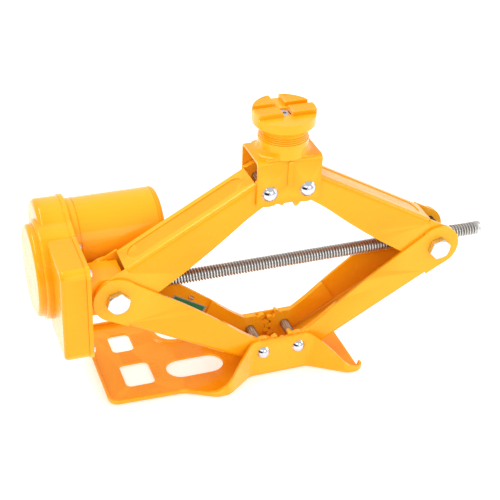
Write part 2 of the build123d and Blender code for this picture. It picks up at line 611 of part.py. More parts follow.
FINAL_PITCH = STAGE_TWO_MODULE * FINAL_TEETH / 2
SMALL_PITCH = STAGE_TWO_MODULE * SMALL_TEETH / 2
LARGE_PITCH = STAGE_ONE_MODULE * LARGE_TEETH / 2
PINION_PITCH = STAGE_ONE_MODULE * PINION_TEETH / 2
STAGE_TWO_CENTRES = FINAL_PITCH + SMALL_PITCH
STAGE_ONE_CENTRES = LARGE_PITCH + PINION_PITCH
MOTOR_DISTANCE = hypot(MOTOR_Y, MOTOR_Z - SIDE_Z)
MOTOR_DIRECTION = degrees(acos(MOTOR_Y / MOTOR_DISTANCE))
COUNTER_SPREAD = degrees(acos(min(1.0, (STAGE_TWO_CENTRES ** 2 + MOTOR_DISTANCE ** 2 - STAGE_ONE_CENTRES ** 2)
                                  / (2 * STAGE_TWO_CENTRES * MOTOR_DISTANCE))))
TO_COUNTER = MOTOR_DIRECTION + COUNTER_SPREAD
COUNTER_Y, COUNTER_Z = polar(STAGE_TWO_CENTRES, TO_COUNTER)
COUNTER_Z += SIDE_Z
TO_MOTOR = degrees(acos((MOTOR_Y - COUNTER_Y) / STAGE_ONE_CENTRES)) * (1 if MOTOR_Z > COUNTER_Z else -1)
FINAL_GEAR_X = (-212.5, -203.5)
FINAL_HUB_END_X = -201.5
SMALL_GEAR_X = (-217.0, -202.5)
LARGE_GEAR_X = (-223.5, -217.0)
PINION_X = (-224.5, -216.0)
CLIP_X = (-214.0, -212.6)
COUNTER_SHAFT_RADIUS = 3.0
MOTOR_SHAFT_RADIUS = 2.5

COVER_WALL = 2.2
PLATE_GROW = 1.2            # the plate's edge stands out round the cover by this
BOX_CORNER = 8.0
BOX_END_ROUND = 4.0
BOX_LOBE = dict(x=-222.5, y=(-40.0, 26.0), z=(73.0, 172.0))
ROUND_LOBE = dict(y=44.0, z=127.0, steps=((-229.5, 49.0, 3.0), (-236.5, 45.5, 4.0)))
MOTOR_LOBE = dict(x=-225.0, radius=42.0, rounding=5.0)
COVER_SCREWS = ((-33.0, 80.0), (-33.0, 165.0), (16.0, 80.0), (10.0, 165.5))
COVER_SCREW_RADIUS = 2.0
COVER_SCREW_TIP_X = -212.0
COUNTER_BOSS_END_X = ROUND_LOBE["steps"][1][0] + COVER_WALL
TIE_ROD_RADIUS = 2.0
TIE_ROD_Y = (MOTOR_Y - 33.0, MOTOR_Y + 33.0)
MOTOR_BUSH_RADIUS = 7.0


def x_edges(solid):
    """Edges along X."""
    return solid.edges().filter_by(Axis.X)


def end_edges(solid):
    """Edges of the face that looks towards -X."""
    return solid.faces().sort_by(Axis.X)[0].edges()


def cover_form(inset, start):
    """Stepped form of the gearbox cover from start towards -X, drawn in by inset all round."""
    low_y, high_y = BOX_LOBE["y"]
    low_z, high_z = BOX_LOBE["z"]
    box = block(BOX_LOBE["x"] + inset, start, low_y + inset, high_y - inset, low_z + inset, high_z - inset)
    box = fillet(x_edges(box), BOX_CORNER - inset)
    form = fillet(end_edges(box), BOX_END_ROUND - inset)
    for x, radius, rounding in ROUND_LOBE["steps"]:
        lobe = rod_x(radius - inset, x + inset, start, ROUND_LOBE["y"], ROUND_LOBE["z"])
        form += fillet(end_edges(lobe), rounding - inset / 2)
    lobe = rod_x(MOTOR_LOBE["radius"] - inset, MOTOR_LOBE["x"] + inset, start, MOTOR_Y, MOTOR_Z)
    return form + fillet(end_edges(lobe), MOTOR_LOBE["rounding"] - inset)


def gearbox_plate():
    """Flat plate that closes the gearbox and carries the motor, the frame and the countershaft."""
    low_y, high_y = BOX_LOBE["y"]
    low_z, high_z = BOX_LOBE["z"]
    ends = (PLATE_OUTER_X, PLATE_INNER_X)
    form = block(*ends, low_y - PLATE_GROW, high_y, low_z - PLATE_GROW, high_z + PLATE_GROW)
    form = fillet(x_edges(form), BOX_CORNER + PLATE_GROW)
    form += rod_x(ROUND_LOBE["steps"][0][1] + PLATE_GROW, *ends, ROUND_LOBE["y"], ROUND_LOBE["z"])
    form += rod_x(MOTOR_LOBE["radius"] + PLATE_GROW, *ends, MOTOR_Y, MOTOR_Z)
    form -= rod_x(SHANK_BORE, *ends, 0, SIDE_Z)
    form -= rod_x(COUNTER_SHAFT_RADIUS, *ends, COUNTER_Y, COUNTER_Z)
    form -= rod_x(MOTOR_BUSH_RADIUS, *ends, MOTOR_Y, MOTOR_Z)
    for y, z in COVER_SCREWS:
        form -= rod_x(COVER_SCREW_RADIUS, *ends, y, z)
    for y in TIE_ROD_Y:
        form -= rod_x(TIE_ROD_RADIUS, *ends, y, MOTOR_Z)
    return form


def gearbox_cover():
    """Deep-drawn cover over the two gear stages and the motor's pinion."""
    cover = cover_form(0.0, PLATE_OUTER_X) - cover_form(COVER_WALL, PLATE_OUTER_X + 1)
    cover += rod_x(2 * COUNTER_SHAFT_RADIUS, COUNTER_BOSS_END_X - 0.5, -226.0, COUNTER_Y, COUNTER_Z)
    cover -= rod_x(COUNTER_SHAFT_RADIUS, COUNTER_BOSS_END_X + 0.5, PLATE_OUTER_X, COUNTER_Y, COUNTER_Z)
    for y, z in COVER_SCREWS:
        cover += rod_x(2 * COVER_SCREW_RADIUS, BOX_LOBE["x"] + 1.0, PLATE_OUTER_X, y, z)
        cover -= rod_x(COVER_SCREW_RADIUS, COVER_SCREW_TIP_X - 1, PLATE_OUTER_X, y, z)
    return cover


def pan_screw(y, z):
    """Screw of the cover, with a slotted head on the plate's inner side."""
    seat, head_radius, head_height = PLATE_INNER_X, 3.8, 2.4
    head = rod_x(head_radius, seat, seat + head_height, y, z)
    head = fillet(head.faces().sort_by(Axis.X)[-1].edges(), head_height / 2)
    head -= block(seat + 1.5, seat + head_height, y - 0.5, y + 0.5, z - head_radius, z + head_radius)
    return head + rod_x(COVER_SCREW_RADIUS, COVER_SCREW_TIP_X, seat, y, z)


def final_gear():
    """Large gear on the screw: thinned web, hub, and the bore for the gear seat."""
    start, end = FINAL_GEAR_X
    gear = spur_gear(STAGE_TWO_MODULE, FINAL_TEETH, start, end, TO_COUNTER)
    gear -= tube_x(28.0, 13.0, start, start + 2.5) + tube_x(28.0, 13.0, end - 2.5, end)
    gear += rod_x(11.0, end, FINAL_HUB_END_X)
    return Pos(0, 0, SIDE_Z) * (gear - rod_x(GEAR_SEAT_RADIUS, start, FINAL_HUB_END_X))


def make_gearbox():
    """Plate, cover and the two stages of spur gears between motor and screw."""
    keep("gearbox_plate", gearbox_plate())
    keep("gearbox_cover", gearbox_cover())
    screws = Part()
    for y, z in COVER_SCREWS:
        screws += pan_screw(y, z)
    keep("cover_screws", screws)
    keep("final_gear", final_gear())
    keep("gear_retaining_ring", tube_x(8.0, GEAR_SEAT_RADIUS, *CLIP_X, 0, SIDE_Z))

    small_start = TO_COUNTER + 180 + 180.0 / SMALL_TEETH
    counter = spur_gear(STAGE_TWO_MODULE, SMALL_TEETH, *SMALL_GEAR_X, small_start)
    counter += spur_gear(STAGE_ONE_MODULE, LARGE_TEETH, *LARGE_GEAR_X, TO_MOTOR)
    counter -= rod_x(COUNTER_SHAFT_RADIUS + PIN_FIT, LARGE_GEAR_X[0], SMALL_GEAR_X[1])
    keep("counter_gear", Pos(0, COUNTER_Y, COUNTER_Z) * counter)
    keep("counter_shaft", rod_x(COUNTER_SHAFT_RADIUS, COUNTER_BOSS_END_X + 0.5, PLATE_INNER_X - 0.5,
                                COUNTER_Y, COUNTER_Z))

    pinion_start = TO_MOTOR + 180 + 180.0 / PINION_TEETH
    pinion = spur_gear(STAGE_ONE_MODULE, PINION_TEETH, *PINION_X, pinion_start)
    pinion -= rod_x(MOTOR_SHAFT_RADIUS, *PINION_X)
    keep("motor_pinion", Pos(0, MOTOR_Y, MOTOR_Z) * pinion)


# --- Motor -------------------------------------------------------------------------------

CAN_RADIUS = 30.0
CAN_WALL = 2.0
CAN_END_X = -122.0
COVER_SHEET = 1.6
CAP_SEAM_X = -109.0
CAP_ROUND = 4.5
GROOVE_X = (-187.4, -186.4)
MAGNET_X = (-184.0, -136.0)
MAGNET_DEPTH = 4.5
MAGNET_GAP_HALF = 10.0
STACK_X = (-181.0, -142.0)
STACK_RADIUS = 22.5
STACK_SLOTS = 9
SLOT_MOUTH = 2.0
COMMUTATOR_X = (-140.0, -128.0)
COMMUTATOR_RADIUS = 8.0
HOLDER_X = (-132.5, -130.5)
BRUSH_X = (-137.5, -132.5)
BRUSH_Y = (8.5, 20.0)
BRUSH_HALF_Z = 2.5
STRAP_X = (CAN_END_X + 3.0, CAN_END_X + 5.0)
REAR_BUSH_RADIUS = 5.5
BELL_BOSS_RADIUS = 8.0
GLAND_X = -136.0
GLAND_THROAT_RADIUS = 5.0
GLAND_FLANGE_RADIUS = 7.5
CORD_HOLE_RADIUS = 2.6


def motor_rod(radius, x_from, x_to):
    """Cylinder on the motor's axis."""
    return rod_x(radius, x_from, x_to, MOTOR_Y, MOTOR_Z)


def motor_tube(outer, inner, x_from, x_to):
    """Tube on the motor's axis."""
    return tube_x(outer, inner, x_from, x_to, MOTOR_Y, MOTOR_Z)


def motor_cover():
    """Drawn tube round the motor, with a shallow groove where it meets the gearbox plate."""
    tube = motor_tube(MOTOR_COVER_RADIUS, MOTOR_COVER_RADIUS - COVER_SHEET, PLATE_INNER_X, CAP_SEAM_X)
    tube -= motor_tube(MOTOR_COVER_RADIUS + 1, MOTOR_COVER_RADIUS - 0.6, *GROOVE_X)
    return tube - rod_y(GLAND_THROAT_RADIUS, MOTOR_Y, MOTOR_Y + REACH, GLAND_X, MOTOR_Z)


def motor_cover_cap():
    """Rounded end cap of the motor cover, with a lip that plugs into the tube."""
    end = MOTOR_COVER_END_X
    lip = MOTOR_COVER_RADIUS - COVER_SHEET - 0.1
    cap = motor_rod(MOTOR_COVER_RADIUS, CAP_SEAM_X + 0.2, end)
    cap = fillet(cap.faces().sort_by(Axis.X)[-1].edges(), CAP_ROUND)
    cap += motor_rod(lip, CAP_SEAM_X - 4, CAP_SEAM_X + 1)
    return cap - motor_rod(lip - COVER_SHEET, CAP_SEAM_X - 4, end - COVER_SHEET)


def armature():
    """Slotted lamination stack on the motor's shaft."""
    stack = motor_tube(STACK_RADIUS, MOTOR_SHAFT_RADIUS, *STACK_X)
    middle = (STACK_X[0] + STACK_X[1]) / 2
    for index in range(STACK_SLOTS):
        turn = 360.0 / STACK_SLOTS * index
        y, z = polar(STACK_RADIUS - 2.5, turn)
        stack -= rod_x(3.0, *STACK_X, MOTOR_Y + y, MOTOR_Z + z)
        y, z = polar(STACK_RADIUS, turn)
        mouth = Rot(turn, 0, 0) * Box(REACH, 6, SLOT_MOUTH)
        stack -= Pos(middle, MOTOR_Y + y, MOTOR_Z + z) * mouth
    return stack


def motor_brushes():
    """Pair of brushes, one on each side of the commutator."""
    brushes = Part()
    inner, outer = BRUSH_Y
    for low, high in ((inner, outer), (-outer, -inner)):
        brushes += block(*BRUSH_X, MOTOR_Y + low, MOTOR_Y + high,
                         MOTOR_Z - BRUSH_HALF_Z, MOTOR_Z + BRUSH_HALF_Z)
    return brushes


def cable_gland():
    """Flanged sleeve through the back of the motor cover, where the supply lead would come out."""
    seat = MOTOR_Y + MOTOR_COVER_RADIUS
    place = (GLAND_X, MOTOR_Z)
    gland = rod_y(GLAND_THROAT_RADIUS, seat - 2.6, seat, *place)
    gland += rod_y(GLAND_FLANGE_RADIUS, seat, seat + 2.6, *place)
    gland += rod_y(GLAND_THROAT_RADIUS, seat + 2.6, seat + 9.0, *place)
    return gland - rod_y(CORD_HOLE_RADIUS, seat - 10, seat + 10, *place)


def make_motor():
    """Motor: can, end bell, magnets, brushes, armature on its shaft, and the outer cover."""
    can = motor_rod(CAN_RADIUS, PLATE_INNER_X, CAN_END_X)
    can -= motor_rod(CAN_RADIUS - CAN_WALL, PLATE_INNER_X + CAN_WALL, CAN_END_X)
    keep("motor_can", can - motor_rod(MOTOR_BUSH_RADIUS, PLATE_INNER_X, CAN_END_X))
    bell = motor_rod(CAN_RADIUS, CAN_END_X, STRAP_X[0])
    bell += motor_rod(BELL_BOSS_RADIUS, CAN_END_X, STRAP_X[1] + 1)
    keep("motor_end_bell", bell - motor_rod(REAR_BUSH_RADIUS, CAN_END_X, CAN_END_X + 4.5))

    ring = motor_tube(CAN_RADIUS - CAN_WALL, CAN_RADIUS - CAN_WALL - MAGNET_DEPTH, *MAGNET_X)
    gap = block(*MAGNET_X, MOTOR_Y - MAGNET_GAP_HALF, MOTOR_Y + MAGNET_GAP_HALF, 0, 2 * MOTOR_Z)
    keep("motor_magnets", ring - gap)
    shaft_bore = MOTOR_SHAFT_RADIUS + PIN_FIT
    keep("motor_bush_front",
         motor_tube(MOTOR_BUSH_RADIUS, shaft_bore, PLATE_INNER_X - 3.5, PLATE_INNER_X + 3.0))
    keep("motor_bush_rear", motor_tube(REAR_BUSH_RADIUS, shaft_bore, CAN_END_X - 0.5, CAN_END_X + 4.5))

    keep("motor_shaft", motor_rod(MOTOR_SHAFT_RADIUS, PINION_X[0], CAN_END_X + 4.0))
    keep("armature", armature())
    keep("commutator", motor_tube(COMMUTATOR_RADIUS, MOTOR_SHAFT_RADIUS, *COMMUTATOR_X))
    keep("brush_holder", motor_tube(CAN_RADIUS - CAN_WALL, 10.0, *HOLDER_X))
    keep("motor_brushes", motor_brushes())

    rods = Part()
    strap = block(*STRAP_X, TIE_ROD_Y[0] - 2.2, TIE_ROD_Y[1] + 2.2, MOTOR_Z - 9, MOTOR_Z + 9)
    strap -= motor_rod(BELL_BOSS_RADIUS, *STRAP_X)
    for y in TIE_ROD_Y:
        rods += rod_x(TIE_ROD_RADIUS, PLATE_OUTER_X - 1, STRAP_X[1], y, MOTOR_Z)
        strap -= rod_x(TIE_ROD_RADIUS, *STRAP_X, y, MOTOR_Z)
    keep("motor_tie_rods", rods)
    keep("motor_strap", strap)
    keep("motor_cover", motor_cover())
    keep("motor_cover_cap", motor_cover_cap())
    keep("cable_gland", cable_gland())


# --- Label -------------------------------------------------------------------------------

LABEL_CENTRE = (79.0, -3.5)     # along and above the pivot line of the lower left arm
LABEL_SIZE = (40.0, 0.3, 20.0)
LABEL_SCREW_HEAD = (2.7, 1.4)   # radius and height
LABEL_SCREW_SLOT = (0.4, 0.8)   # half width and depth


def make_label():
    """Blank rating label inside the back flange of the lower left arm, and the small screw above it."""
    inside = LOWER_ARM_Y - SHEET
    along, up = LABEL_CENTRE
    label = Pos(along, inside - 0.02, up) * Box(*LABEL_SIZE, align=(Align.CENTER, Align.MAX, Align.CENTER))
    along, up = LABEL_SCREW
    radius, height = LABEL_SCREW_HEAD
    half_slot, slot_depth = LABEL_SCREW_SLOT
    screw = rod_y(LABEL_SCREW_RADIUS, inside, LOWER_ARM_Y - 0.1, along, up)
    screw += rod_y(radius, inside - height, inside, along, up)
    screw -= block(along - radius, along + radius, inside - height, inside - height + slot_depth,
                   up - half_slot, up + half_slot)
    turn = Pos(-HALF_SPACING, 0, LOWER_PIVOT_Z) * Rot(0, REST_ANGLE, 0)
    keep("arm_label", turn * mirror(label, about=Plane.YZ))
    keep("label_screw", turn * mirror(screw, about=Plane.YZ))


make_arms()
make_base()
make_top()
make_side_pivots()
make_screw()
make_gearbox()
make_motor()
make_label()
print(len(NODES), "nodes")
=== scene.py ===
# %% [markdown]
# # An electric scissor jack, finished in Blender
# The jack's working shapes come from a measured CAD model: four channel arms, a pressed base, a
# bracket with a turning saddle, a lead screw and a motor gearbox. Blender's share is the surface:
# rolled sheet edges, a real thread, rivets with drawn shanks, paint and bare metal. First the CAD
# frame is loaded, and the rounded copies made later are held inside their CAD pieces' boxes.
# Nothing made here may grow past it.

# %% Load the CAD frame
import json
from math import asin, atan2, cos, radians, sin, tau

import bmesh
import bpy
from mathutils import Matrix, Vector

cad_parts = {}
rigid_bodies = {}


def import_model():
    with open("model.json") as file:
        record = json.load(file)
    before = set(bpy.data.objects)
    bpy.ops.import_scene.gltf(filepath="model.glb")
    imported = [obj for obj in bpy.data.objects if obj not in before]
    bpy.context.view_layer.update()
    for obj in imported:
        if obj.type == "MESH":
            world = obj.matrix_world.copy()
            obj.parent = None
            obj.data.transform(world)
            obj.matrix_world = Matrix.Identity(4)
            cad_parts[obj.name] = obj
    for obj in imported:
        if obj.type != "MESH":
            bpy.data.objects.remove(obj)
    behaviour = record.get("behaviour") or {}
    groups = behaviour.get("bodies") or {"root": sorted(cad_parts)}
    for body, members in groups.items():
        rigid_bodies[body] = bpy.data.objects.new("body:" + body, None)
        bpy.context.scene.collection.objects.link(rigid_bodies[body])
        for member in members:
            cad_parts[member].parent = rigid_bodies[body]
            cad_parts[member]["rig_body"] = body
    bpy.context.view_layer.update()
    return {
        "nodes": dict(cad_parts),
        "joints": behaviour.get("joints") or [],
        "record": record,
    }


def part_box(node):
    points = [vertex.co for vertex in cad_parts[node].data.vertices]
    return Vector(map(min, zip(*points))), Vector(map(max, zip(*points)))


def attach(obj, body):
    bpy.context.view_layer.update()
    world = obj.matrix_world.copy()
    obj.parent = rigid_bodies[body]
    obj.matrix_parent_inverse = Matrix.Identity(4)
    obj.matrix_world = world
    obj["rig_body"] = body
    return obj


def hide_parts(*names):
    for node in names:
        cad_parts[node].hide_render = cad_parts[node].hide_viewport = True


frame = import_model()
cad = frame["nodes"]
pivot = {joint["name"]: Vector(joint["pos_m"]) for joint in frame["joints"]}
slot_of = {part["node"]: part["material_slot"] for part in frame["record"]["subparts"]}
MM = 0.001

# %% [markdown]
# ## The view
# The jack is seen from its motor end, a little from above, through a long lens, which keeps the
# arms nearly parallel. The camera stands on a sphere round a point in the middle of the linkage,
# given by two angles and a distance, and leans over by a small roll.

# %% The camera
LOOK_AT = Vector((-28.5, 0.0, 139.6)) * MM
TURN = radians(20.6)
RAISE = radians(32.7)
LEAN = radians(2.18)
DISTANCE = 1182.7 * MM
LENS = 87.33
SENSOR = 36.0
FARTHEST = 20.0            # metres that the camera sees

forward = Vector((sin(TURN) * cos(RAISE), cos(TURN) * cos(RAISE), -sin(RAISE)))
right = Vector((cos(TURN), -sin(TURN), 0))
above = right.cross(forward)
across = right * cos(LEAN) + above * sin(LEAN)
up = above * cos(LEAN) - right * sin(LEAN)

camera = bpy.data.objects.new("studio_camera", bpy.data.cameras.new("studio_camera"))
bpy.context.collection.objects.link(camera)
camera.data.lens = LENS
camera.data.sensor_width = SENSOR
camera.data.clip_end = FARTHEST
place = Matrix((across, up, -forward)).transposed().to_4x4()
place.translation = LOOK_AT - forward * DISTANCE
camera.matrix_world = place
bpy.context.scene.camera = camera
print("camera at", [round(c, 3) for c in camera.location])

# %% [markdown]
# ## Studio
# Glossy paint is only as good as what it mirrors, so the jack stands in a white room on a pale
# sheet that takes a faint contact shadow. Neither is part of the jack.

# %% World and floor


def mesh_of(shape, name):
    """Mesh from an editable shape, which is freed."""
    mesh = bpy.data.meshes.new(name)
    shape.to_mesh(mesh)
    shape.free()
    return mesh


ROOM_LIGHT = 0.82
FLOOR_HALF = 6.0
FLOOR_DROP = 0.4 * MM       # keeps the paper from touching the jack's underside

world = bpy.data.worlds.new("white_room")
world.use_nodes = True
world.node_tree.nodes["Background"].inputs["Color"].default_value = (1.0, 1.0, 1.0, 1.0)
world.node_tree.nodes["Background"].inputs["Strength"].default_value = ROOM_LIGHT
bpy.context.scene.world = world
bpy.context.scene.view_settings.view_transform = "Standard"

paper = bmesh.new()
bmesh.ops.create_grid(paper, x_segments=8, y_segments=8, size=FLOOR_HALF)
floor = bpy.data.objects.new("studio_floor", mesh_of(paper, "studio_floor"))
floor.location.z = -FLOOR_DROP
bpy.context.collection.objects.link(floor)
print("floor spans", 2 * FLOOR_HALF, "m")

# %% [markdown]
# ### Lights
# Four soft panels stand for a studio's light boxes: one overhead, one beside the camera, one on the
# right and one in front. They give long highlights on the bends and leave the insides darker. A
# dark card is added for the polished rivets, since a mirror in a white room shows no form.

# %% Soft panels
LIT_POINT = Vector((0, 0, 0.15))


def soft_panel(name, place, size, power):
    """Rectangular area light that looks at the middle of the jack."""
    light = bpy.data.lights.new(name, "AREA")
    light.shape = "RECTANGLE"
    light.size, light.size_y = size
    light.energy = power
    panel = bpy.data.objects.new(name, light)
    panel.location = place
    panel.rotation_euler = (LIT_POINT - Vector(place)).to_track_quat("-Z", "Y").to_euler()
    bpy.context.collection.objects.link(panel)
    print(name, power, "W")


soft_panel("overhead_panel", (-0.6, 0.3, 1.3), (1.3, 0.35), 10.0)
soft_panel("camera_side_panel", (-0.8, -1.1, 1.15), (0.9, 0.25), 3.0)
soft_panel("right_panel", (1.5, -0.3, 0.7), (0.4, 1.0), 5.0)
soft_panel("front_panel", (0.5, -1.6, 0.9), (1.0, 0.8), 4.5)

# %% Dark card
CARD_PLACE = (-1.3, -1.2, 0.42)
CARD_HALF_WIDTH = 1.0
CARD_HALF_HEIGHT = 0.42
CARD_TURN = radians(-47)


def dark_card(name, centre, half_width, half_height, turn):
    """Upright dark card that only mirrors see, so that polished metal gets a dark edge."""
    form = bmesh.new()
    bmesh.ops.create_grid(form, x_segments=4, y_segments=4, size=1.0)
    bmesh.ops.scale(form, verts=form.verts, vec=(half_width, half_height, 1.0))
    bmesh.ops.rotate(form, verts=form.verts, matrix=Matrix.Rotation(radians(90), 3, "X"))
    card = bpy.data.objects.new(name, mesh_of(form, name))
    card.location = centre
    card.rotation_euler.z = turn
    card.visible_camera = card.visible_diffuse = card.visible_shadow = False
    bpy.context.collection.objects.link(card)
    return card


card = dark_card("dark_card", CARD_PLACE, CARD_HALF_WIDTH, CARD_HALF_HEIGHT, CARD_TURN)
print(card.name, 2 * CARD_HALF_WIDTH, "by", 2 * CARD_HALF_HEIGHT, "m")

# %% [markdown]
# ## Finishes
# Every finish is a small node tree. A constant goes straight onto the shader, and what varies over
# the surface, such as colour, roughness and fine relief, comes from noise in the piece's own
# coordinates, so that it stays put when the arms move.

# %% Node helpers


def new_finish(name, **constants):
    """Material with a Principled shader, whose constant sockets are given by name."""
    finish = bpy.data.materials.new(name)
    finish.use_nodes = True
    shader = finish.node_tree.nodes["Principled BSDF"]
    for socket, value in constants.items():
        shader.inputs[socket.replace("_", " ")].default_value = value
    return finish, shader


def add_node(finish, kind, **values):
    """Node of a kind, with its sockets set by name."""
    node = finish.node_tree.nodes.new(kind)
    for socket, value in values.items():
        node.inputs[socket.replace("_", " ")].default_value = value
    return node


def own_coordinates(finish, stretch=(1.0, 1.0, 1.0)):
    """The piece's own coordinates in metres, stretched to draw a grain out along one axis."""
    where = add_node(finish, "ShaderNodeTexCoord")
    scale = add_node(finish, "ShaderNodeMapping", Scale=stretch)
    finish.node_tree.links.new(where.outputs["Object"], scale.inputs["Vector"])
    return scale.outputs["Vector"]


def noise(finish, coordinates, per_metre, detail=3.0):
    """Noise with about that many grains to the metre."""
    grain = add_node(finish, "ShaderNodeTexNoise", Scale=per_metre, Detail=detail)
    finish.node_tree.links.new(coordinates, grain.inputs["Vector"])
    return grain.outputs["Fac"]


def spread(finish, value, low, high, from_low=0.3, from_high=0.7):
    """Map a value from its usual range onto low to high."""
    remap = finish.node_tree.nodes.new("ShaderNodeMapRange")
    for socket, number in zip(remap.inputs[1:5], (from_low, from_high, low, high)):
        socket.default_value = number
    finish.node_tree.links.new(value, remap.inputs["Value"])
    return remap.outputs["Result"]


def blend_colours(finish, value, first, second):
    """Colour between two colours, or colour sockets, by a value."""
    mix = finish.node_tree.nodes.new("ShaderNodeMix")
    mix.data_type = "RGBA"
    factor, side_a, side_b = mix.inputs[0], mix.inputs[6], mix.inputs[7]
    finish.node_tree.links.new(value, factor)
    for side, colour in ((side_a, first), (side_b, second)):
        if isinstance(colour, bpy.types.NodeSocket):
            finish.node_tree.links.new(colour, side)
        else:
            side.default_value = (*colour, 1.0)
    return mix.outputs[2]


def maths(finish, kind, operation, first, second=None):
    """Maths or vector maths node, whose inputs are sockets or constants."""
    node = finish.node_tree.nodes.new(kind)
    node.operation = operation
    for socket, value in zip(node.inputs, (first, second)):
        if isinstance(value, bpy.types.NodeSocket):
            finish.node_tree.links.new(value, socket)
        elif value is not None:
            socket.default_value = value
    return node


def relief(finish, shader, height, depth, strength=1.0):
    """Bump of a height field whose full range stands for a depth in metres."""
    bump = add_node(finish, "ShaderNodeBump", Strength=strength, Distance=depth)
    finish.node_tree.links.new(height, bump.inputs["Height"])
    finish.node_tree.links.new(bump.outputs["Normal"], shader.inputs["Normal"])


def feed(finish, shader, **sockets):
    """Link outputs to the shader's sockets."""
    for name, output in sockets.items():
        finish.node_tree.links.new(output, shader.inputs[name.replace("_", " ")])

# %% [markdown]
# ### Yellow powder coat
# Powder is baked into a thick glossy skin. It is never quite flat: it has a soft orange-peel
# ripple a millimetre or two across, and its shade drifts a little with the film's thickness. It
# also thins at sharp edges, where it looks paler. A clear coat on the shader gives the hard gloss.

# %% Powder coat
RICH_YELLOW = (0.92, 0.335, 0.001)
WARM_YELLOW = (0.97, 0.375, 0.002)
THIN_YELLOW = (1.0, 0.47, 0.02)
GLOSS_TINT = (1.0, 0.72, 0.2, 1.0)


def powder_coat():
    """Glossy yellow powder coat with orange peel and paler edges."""
    finish, shader = new_finish("yellow_powder_coat", Coat_Weight=0.3, Coat_Roughness=0.06,
                                Specular_IOR_Level=0.35, Specular_Tint=GLOSS_TINT)
    where = own_coordinates(finish)
    drift = spread(finish, noise(finish, where, 14.0), 0.0, 1.0)
    colour = blend_colours(finish, drift, RICH_YELLOW, WARM_YELLOW)
    edges = add_node(finish, "ShaderNodeNewGeometry").outputs["Pointiness"]
    thin = spread(finish, edges, 0.0, 0.6, 0.515, 0.58)
    colour = blend_colours(finish, thin, colour, THIN_YELLOW)
    gloss = spread(finish, noise(finish, where, 60.0), 0.2, 0.3)
    feed(finish, shader, Base_Color=colour, Roughness=gloss)
    relief(finish, shader, noise(finish, where, 520.0, 1.0), 0.06 * MM, 0.5)
    return finish


yellow = powder_coat()
print("made", yellow.name)

# %% [markdown]
# ### Bare and plated metals
# The rivets are polished and plated, the bolts are zinc plated and slightly satin, the screw is
# rolled steel, and the nut is black oxide. They share one recipe. The grain's stretch shows how a
# piece was made: a turned or drawn piece carries fine lines, a forged one is evenly mottled.

# %% Metal finishes


def metal(name, dark, light, gloss, grain=400.0, stretch=(1, 1, 1), depth=0.01, metallic=1.0):
    """Metal whose shade, gloss and fine relief follow one stretched grain."""
    finish, shader = new_finish(name, Metallic=metallic)
    where = own_coordinates(finish, stretch)
    fine = noise(finish, where, grain, 4.0)
    stain = noise(finish, own_coordinates(finish), 70.0)
    colour = blend_colours(finish, spread(finish, stain, 0.0, 1.0), dark, light)
    feed(finish, shader, Base_Color=colour, Roughness=spread(finish, fine, *gloss))
    relief(finish, shader, fine, depth * MM, 0.6)
    return finish


FINISHES = {
    "yellow_powder_coat": yellow,
    "zinc_plate": metal("zinc_plate", (0.6, 0.63, 0.7), (0.8, 0.82, 0.86), (0.2, 0.36), 700, depth=0.02),
    "dark_forged_steel": metal("dark_forged_steel", (0.06, 0.065, 0.075), (0.13, 0.135, 0.15), (0.34, 0.5),
                               500, depth=0.03),
    "machined_steel": metal("machined_steel", (0.42, 0.43, 0.45), (0.6, 0.61, 0.63), (0.22, 0.36), 900,
                            (6, 1, 1)),
    "bronze": metal("bronze", (0.45, 0.27, 0.12), (0.62, 0.4, 0.18), (0.3, 0.45), 900),
    "copper": metal("copper", (0.6, 0.28, 0.15), (0.76, 0.4, 0.24), (0.25, 0.4), 900, (5, 1, 1)),
    "lamination_steel": metal("lamination_steel", (0.2, 0.2, 0.21), (0.34, 0.34, 0.35), (0.4, 0.55), 2000,
                              (1, 0.02, 0.02), 0.05),
    "motor_can_steel": metal("motor_can_steel", (0.45, 0.46, 0.48), (0.58, 0.59, 0.61), (0.25, 0.4), 600),
    "ferrite": metal("ferrite", (0.03, 0.03, 0.035), (0.07, 0.07, 0.075), (0.45, 0.6), 900, metallic=0.0),
    "phenolic": metal("phenolic", (0.16, 0.08, 0.03), (0.28, 0.15, 0.07), (0.4, 0.55), 500, metallic=0.0),
    "carbon": metal("carbon", (0.02, 0.02, 0.02), (0.05, 0.05, 0.05), (0.4, 0.6), 1200, metallic=0.0),
    "black_rubber": metal("black_rubber", (0.012, 0.012, 0.012), (0.03, 0.03, 0.03), (0.5, 0.68), 800,
                          depth=0.03, metallic=0.0),
}
print(len(FINISHES), "finishes")

# %% [markdown]
# ### Rolled screw steel
# Grease and dust sit in the bottom of a thread while the nut keeps the crests bright. The distance
# from the screw's own axis tells root from crest, so one gradient darkens the roots.

# %% Screw finish
SCREW_AXIS = pivot["screw_spin"]
ROOT_RADIUS = 5.5 * MM
CREST_RADIUS = 7.0 * MM


def screw_steel():
    """Steel that is greasy in the roots of the thread and bright on its crests."""
    finish, shader = new_finish("rolled_screw_steel", Metallic=1.0)
    where = add_node(finish, "ShaderNodeTexCoord").outputs["Object"]
    vector = "ShaderNodeVectorMath"
    shift = maths(finish, vector, "SUBTRACT", where, SCREW_AXIS).outputs["Vector"]
    flatten = maths(finish, vector, "MULTIPLY", shift, (0, 1, 1)).outputs["Vector"]
    radius = maths(finish, vector, "LENGTH", flatten)
    crest = spread(finish, radius.outputs["Value"], 0.0, 1.0, ROOT_RADIUS, CREST_RADIUS)
    grease = noise(finish, where, 160.0)
    worn = blend_colours(finish, spread(finish, grease, 0.0, 1.0), (0.58, 0.57, 0.55), (0.74, 0.74, 0.72))
    colour = blend_colours(finish, crest, (0.22, 0.2, 0.18), worn)
    feed(finish, shader, Base_Color=colour, Roughness=spread(finish, crest, 0.5, 0.34, 0.0, 1.0))
    relief(finish, shader, noise(finish, where, 900.0), 0.01 * MM, 0.5)
    return finish


